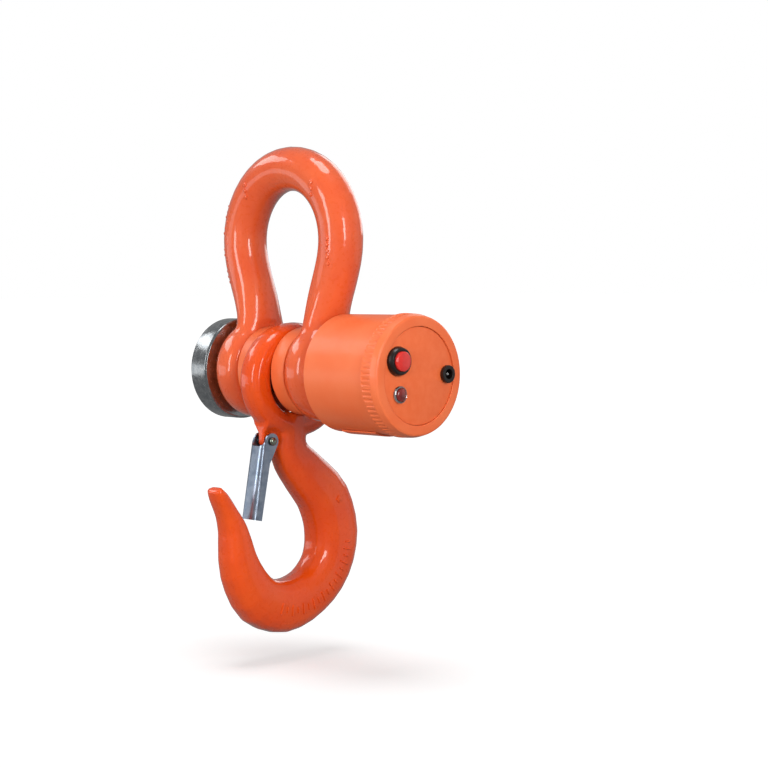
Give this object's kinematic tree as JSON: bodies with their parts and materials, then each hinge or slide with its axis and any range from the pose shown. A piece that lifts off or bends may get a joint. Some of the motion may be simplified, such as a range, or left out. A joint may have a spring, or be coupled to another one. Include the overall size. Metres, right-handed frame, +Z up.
{
  "type": "crane scale",
  "caption": "Wireless crane scale: load-sensing bow shackle with round electronics housing on its pin, and a forged eye hook with safety latch below.",
  "frame": {"origin": "inside of the bow's crown, where a crane's hook bears", "axes": "+X along the load pin towards the electronics housing, +Z up, the hook's tip towards -Y"},
  "size_m": [0.2069, 0.1343, 0.3503],
  "materials": {
    "enamelled_forging": "gloss red-orange enamel over forged steel",
    "coated_metal": "satin orange powder coat on turned aluminium",
    "moulded_cover": "satin orange moulded ABS",
    "zinc_steel": "zinc-plated steel",
    "spring_steel": "spring steel wire",
    "plain_steel": "bright steel",
    "bright_metal": "chrome-plated brass",
    "black_plastic": "semi-gloss black nylon",
    "red_plastic": "gloss red acrylic",
    "red_lens": "dark red tinted lens",
    "rubber": "black nitrile",
    "potting": "grey potting compound",
    "lead_sleeve": "grey PVC sleeve",
    "circuit_laminate": "green solder mask",
    "cell_sleeve": "blue shrink sleeve"
  },
  "bodies": {
    "shackle": {"shackle_bow": "enamelled_forging", "load_pin": "zinc_steel", "spacer_right": "coated_metal", "spacer_left": "coated_metal", "housing": "coated_metal", "rating_plate": "coated_metal", "gauge_core": "potting", "housing_seal": "rubber", "face_gasket": "rubber", "pin_washer": "plain_steel", "pin_nut": "plain_steel", "board_pillar_1": "plain_steel", "board_screw_1": "plain_steel", "board_pillar_2": "plain_steel", "board_screw_2": "plain_steel", "board_pillar_3": "plain_steel", "board_screw_3": "plain_steel", "circuit_board": "circuit_laminate", "board_connector": "black_plastic", "gauge_lead": "lead_sleeve", "battery_tray": "black_plastic", "battery_cell_1": "cell_sleeve", "battery_cell_2": "cell_sleeve", "battery_cell_3": "cell_sleeve", "radio_module": "plain_steel", "antenna": "black_plastic"},
    "hook": {"hook": "enamelled_forging", "latch_pin": "zinc_steel", "latch_spring": "spring_steel"},
    "latch": {"latch": "zinc_steel"},
    "face": {"face_plate": "moulded_cover", "button_bezel": "black_plastic", "button_spring": "spring_steel", "button_nut": "plain_steel", "led_bezel": "bright_metal", "led_lens": "red_lens", "led_nut": "plain_steel", "socket_body": "black_plastic", "socket_pin": "bright_metal", "socket_nut": "plain_steel"},
    "ring": {"union_ring": "coated_metal"},
    "button": {"button_cap": "red_plastic"}
  },
  "joints": [
    {"name": "hook_swing", "type": "hinge", "parent": "shackle", "child": "hook", "pos_m": [0, 0, -0.1291], "axis": [1, 0, 0], "range_deg": [-120, 120]},
    {"name": "latch_pivot", "type": "hinge", "parent": "hook", "child": "latch", "pos_m": [0, -0.0267, -0.1785], "axis": [1, 0, 0], "range_deg": [0, 40], "stiffness_Nm_per_rad": 0.15, "springref_deg": -28.65},
    {"name": "face_slide", "type": "slide", "parent": "shackle", "child": "face", "axis": [1, 0, 0], "range_m": [0, 0.008]},
    {"name": "ring_turn", "type": "hinge", "parent": "face", "child": "ring", "pos_m": [0.12, 0, -0.1291], "axis": [1, 0, 0], "range_deg": [0, 1440]},
    {"name": "power_button", "type": "slide", "parent": "face", "child": "button", "axis": [-1, 0, 0], "range_m": [0, 0.0018], "stiffness_N_per_m": 600, "springref_m": -0.002}
  ],
  "couplings": [
    {"joint": "face_slide", "follows": "ring_turn", "m_per_rad": 0.00031831}
  ]
}
